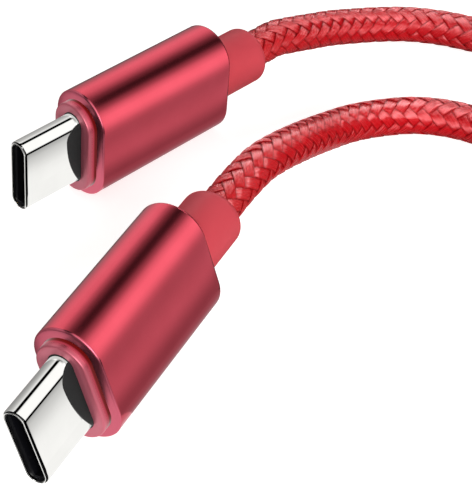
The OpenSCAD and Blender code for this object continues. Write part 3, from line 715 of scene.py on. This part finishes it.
table_reach = 2.5
camera_glow, shine_glow = 0.72, 0.2
table_white, tree, shader = start_material("table_white")
shader.inputs["Base Color"].default_value = rgb(0.86, 0.86, 0.85)
shader.inputs["Roughness"].default_value = 0.9
shader.inputs["Specular IOR Level"].default_value = 0.0
rays = tree.nodes.new("ShaderNodeLightPath").outputs
seen_glow = add(tree, "ShaderNodeEmission", {
    "Color": rgb(1, 1, 0.985),
    "Strength": maths(tree, "MULTIPLY", rays["Is Camera Ray"], camera_glow)})
lit = add(tree, "ShaderNodeAddShader", {0: shader.outputs[0], 1: seen_glow.outputs[0]})
in_shine = add(tree, "ShaderNodeEmission", {"Color": rgb(1, 1, 1), "Strength": shine_glow})
either = add(tree, "ShaderNodeMixShader", {
    0: rays["Is Glossy Ray"], 1: lit.outputs[0], 2: in_shine.outputs[0]})
show(table_white, either.outputs[0])
table_white.cycles.emission_sampling = "NONE"
table_corners = [(x * table_reach, y * table_reach, 0)
                 for x, y in ((-1, -1), (1, -1), (1, 1), (-1, 1))]
stage_mesh("table", table_corners, [(0, 1, 2, 3)], table_white)

# ---- Reflectors --------------------------------------------------------------------------------
# Round each plug stands a curved reflector of white strips and black flags, and two plain sheets
# and two small flags lie on the table under it. Only the shine of the metal shows them.
reflector_r, reflector_axis = 10.0, 2.65
reflector_top, reflector_turn_step = 150, 3
# Each reflector has a body part and a nose part: its near and far end along the plug, in mm, and
# its lowest edge behind the plug, in degrees from straight up.
reflector_parts = ((3, 43, -126), (-20, 3, -100))
# Brightness by that angle: opposite the body, and opposite the nose. Below the nose's last band
# both plugs have the same bands for the shell's flat side.
body_bands = [
    (-126, 0.03), (-108, 0.04), (-98, 0.12), (-91, 0.25), (-77, 0.62), (-62, 0.98), (-49, 1.4),
    (-36, 1.6), (-22, 1.42), (-9, 0.88), (3, 0.36), (16, 0.09), (22, 0.09), (28, 0.16), (41, 0.72),
    (53, 1.58), (66, 2.12), (79, 2.12), (91, 1.74), (104, 1.18), (117, 0.9), (121, 0.86),
    (124.5, 0.8), (127, 0.9), (130, 1.0), (134, 1.08), (136.5, 0.98), (139, 0.75), (142, 0.55),
    (150, 0.56)]
nose_bands = {
    "a": [(-126, 0.3), (-117, 0.36), (-97, 0.43), (-77, 0.46), (-58, 0.58), (-48, 0.63), (-39, 0.8),
          (-30, 0.93), (-22, 1.0), (-19, 0.0), (0, 0.0), (3.5, 1.05), (10, 1.22), (16, 1.28),
          (76, 1.28), (85, 1.1), (88, 0.0), (104, 0.0), (107.5, 0.5), (120, 0.58)],
    "b": [(-126, 0.26), (-107, 0.26), (-87, 0.34), (-77, 0.37), (-58, 0.45), (-48, 0.52),
          (-39, 0.61), (-30, 0.72), (-20, 0.93), (-10.5, 1.0), (-7.5, 0.0), (11.5, 0.0), (15, 1.0),
          (22, 1.22), (28, 1.28), (88, 1.28), (96, 1.1), (99, 0.0), (114, 0.0), (117.5, 0.42),
          (123, 0.55)]}
flat_side = [(128, 0.61), (132.6, 0.8), (136, 0.97), (139, 1.1), (142, 1.15), (150, 1.18)]
brightest_band = 2.5
# The nose's bands give way to the body's at a slanting line, and start at a slanting dark edge.
# Both lie in mm along the plug; the pairs are the degrees between which a line moves.
slants = {"a": 5.2, "b": 5.45}
nose_end, body_start = 7.0, 7.25
slant_behind, shift_behind = (-120, -20), 0.8
slant_below, shift_below = (130, 155), -2.7
root_below, root_shift = (104, 118), 0.7
dark_edge, dark_from, dark_to, dark_blur = (50, 100), -2.2, 2.6, 0.1
# The sheets under each plug, in its own plan: a light one before this line and a dull one behind.
sheet_splits = {"a": 9.8, "b": 12.6}
sheet_near, sheet_far, sheet_left, sheet_right = -20, 33, 22, -18
nose_sheet_glow, body_sheet_glow, flag_glow = 1.15, 0.62, 0.01
sheet_height, flag_height = 0.03, 0.06
mouth_flags = {
    "a": [[(0.2, -1.4), (0.4, -16), (-16, -16), (-16, 3), (-0.2, -1.05)],
          [(-0.1, -0.7), (-16, 14.6), (-16, 16), (-6, 12.5), (0.2, 1.2)]],
    "b": [[(0.2, -1.4), (2.4, -12), (-16, -16), (-16, -2), (-0.2, -1.05)],
          [(-0.1, -0.8), (-16, 9.4), (-16, 12), (-6, 9), (0.2, 1.2)]]}


def glowing(name, strength):
    """A material of one even brightness."""
    glow, tree, _ = start_material(name)
    light = add(tree, "ShaderNodeEmission", {"Color": rgb(1, 1, 1), "Strength": strength})
    show(glow, light.outputs[0])
    glow.cycles.emission_sampling = "NONE"
    return glow


def band_ramp(tree, angle, bands):
    """Brightness of a reflector by the angle round the plug."""
    low, high = bands[0][0], bands[-1][0]
    ramp = add(tree, "ShaderNodeValToRGB", {0: ranged(tree, angle, low, high, 0.0, 1.0)})
    stops = ramp.color_ramp.elements
    for at, strength in bands[1:-1]:
        stops.new((at - low) / (high - low)).color = rgb(*[strength / brightest_band] * 3)
    stops[0].color = rgb(*[bands[0][1] / brightest_band] * 3)
    stops[-1].color = rgb(*[bands[-1][1] / brightest_band] * 3)
    return maths(tree, "MULTIPLY", ramp.outputs[0], brightest_band)


def only_in_shine(sheet):
    """A sheet that only mirrored rays meet."""
    for ray in ("camera", "diffuse", "transmission", "volume_scatter", "shadow"):
        setattr(sheet, f"visible_{ray}", False)


def floor_sheet(name, which, outline, strength, height):
    """A flat sheet of one brightness just over the table, in a plug's own plan."""
    points = [(x * MM, y * MM, 0) for x, y in outline]
    sheet = stage_mesh(name, points, [tuple(range(len(points)))], glowing(name, strength))
    x, y, _ = mouths[which]
    heading = radians(poses[which][0])
    sheet.matrix_world = (Matrix.Translation((x * MM, y * MM, height * MM))
                          @ Matrix.Rotation(heading, 4, "Z"))
    only_in_shine(sheet)


def reflector_material(which):
    """The nose's and the body's bands, seen on the inner face of a plug's reflector only."""
    glow, tree, _ = start_material(f"reflector_{which}")
    position = tree.nodes.new("ShaderNodeTexCoord").outputs["Object"]
    x, y, z = add(tree, "ShaderNodeSeparateXYZ", {0: position}).outputs
    turned = maths(tree, "ARCTAN2", maths(tree, "MULTIPLY", y, -1.0),
                   maths(tree, "SUBTRACT", z, reflector_axis * MM))
    angle = maths(tree, "MULTIPLY", turned, 180 / pi)
    along = maths(tree, "DIVIDE", x, MM)
    base = slants[which]
    slant = maths(tree, "ADD", ranged(tree, angle, *slant_behind, base + shift_behind, base),
                  ranged(tree, angle, *slant_below, 0.0, shift_below))
    past_slant = maths(tree, "SUBTRACT", along, slant)
    edge = ranged(tree, angle, *dark_edge, dark_from, dark_to)
    past_edge = maths(tree, "SUBTRACT", along, edge)
    nose = maths(tree, "MULTIPLY", band_ramp(tree, angle, nose_bands[which] + flat_side),
                 ranged(tree, past_edge, -dark_blur, dark_blur, 0.0, 1.0))
    body = band_ramp(tree, angle, body_bands)
    root = maths(tree, "ADD", past_slant, ranged(tree, angle, *root_below, 0.0, root_shift))
    strength = add(tree, "ShaderNodeMix", {
        0: ranged(tree, root, nose_end, body_start, 0.0, 1.0), 2: nose, 3: body})
    light = add(tree, "ShaderNodeEmission", {
        "Color": rgb(1, 1, 1), "Strength": strength.outputs[0]})
    clear = tree.nodes.new("ShaderNodeBsdfTransparent")
    behind = tree.nodes.new("ShaderNodeNewGeometry").outputs["Backfacing"]
    one_sided = add(tree, "ShaderNodeMixShader", {
        0: behind, 1: light.outputs[0], 2: clear.outputs[0]})
    show(glow, one_sided.outputs[0])
    glow.cycles.emission_sampling = "NONE"
    return glow


for which in "ab":
    for part, outline in enumerate(mouth_flags[which]):
        floor_sheet(f"mouth_flag_{which}_{part}", which, outline, flag_glow, flag_height)
    split = sheet_splits[which]
    for zone, strength, near, far in (("nose", nose_sheet_glow, sheet_near, split),
                                      ("body", body_sheet_glow, split, sheet_far)):
        corners = [(near, sheet_right), (far, sheet_right), (far, sheet_left), (near, sheet_left)]
        floor_sheet(f"floor_{zone}_{which}", which, corners, strength, sheet_height)
    glow = reflector_material(which)
    for part, (near, far, low) in enumerate(reflector_parts):
        turns = np.radians(np.arange(low, reflector_top + 1, reflector_turn_step))
        points = [(x * MM, -reflector_r * sin(a) * MM, (reflector_axis + reflector_r * cos(a)) * MM)
                  for a in turns for x in (near, far)]
        faces = [(2 * k, 2 * k + 1, 2 * k + 3, 2 * k + 2) for k in range(len(turns) - 1)]
        card = stage_mesh(f"reflector_{which}_{part}", points, faces, glow)
        card.matrix_world = plug_frame(which)
        only_in_shine(card)


# ---- Lamps, screens and sky --------------------------------------------------------------------
# A soft lamp stands low in front to the right and a weaker one high behind. Two bright screens,
# which only shine meets, stand farther out for the yarn, in an even white room.
def soft_lamp(name, place, target, size, power):
    """A square lamp turned to its target, in metres and watts."""
    lamp = bpy.data.lights.new(name, "AREA")
    lamp.shape = "SQUARE"
    lamp.size = size
    lamp.energy = power
    made = bpy.data.objects.new(name, lamp)
    made.location = place
    made.rotation_euler = (Vector(target) - Vector(place)).to_track_quat("-Z", "Y").to_euler()
    scene.collection.objects.link(made)
    return made


def bright_screen(name, distance, turns, rises, strength):
    """A curved screen round the whole set, for the yarn's shine: degrees round, degrees up."""
    round_steps, up_steps = 16, 4
    x, y, z = middle
    points = [(x + distance * cos(u) * cos(a), y + distance * cos(u) * sin(a),
               z + distance * sin(u))
              for a in np.radians(np.linspace(*turns, round_steps + 1))
              for u in np.radians(np.linspace(*rises, up_steps + 1))]
    row = up_steps + 1
    faces = [(row * k + m, row * k + m + 1, row * (k + 1) + m + 1, row * (k + 1) + m)
             for k in range(round_steps) for m in range(up_steps)]
    only_in_shine(stage_mesh(name, points, faces, glowing(name, strength)))


middle = (0.01, 0.0, 0.0)
lamp_size, screen_distance = 0.3, 0.7
soft_lamp("key", (0.20, -0.5, 0.2), middle, lamp_size, 3.4)
soft_lamp("back", (-0.1, 0.5, 0.4), middle, lamp_size, 1.0)
bright_screen("front_screen", screen_distance, (-165, 20), (22, 46), 11.0)
bright_screen("back_screen", screen_distance, (20, 170), (24, 58), 8.0)

sky_on_object, sky_in_shine, sky_in_view = 0.34, 0.2, 1.0
world = bpy.data.worlds.new("room")
world.use_nodes = True
scene.world = world
tree = world.node_tree
background = tree.nodes["Background"]
rays = tree.nodes.new("ShaderNodeLightPath").outputs
unseen = add(tree, "ShaderNodeMix", {0: rays["Is Glossy Ray"], 2: sky_on_object, 3: sky_in_shine})
sky = add(tree, "ShaderNodeMix", {0: rays["Is Camera Ray"], 2: unseen.outputs[0], 3: sky_in_view})
background.inputs["Color"].default_value = rgb(1, 1, 1)
tree.links.new(sky.outputs[0], background.inputs["Strength"])
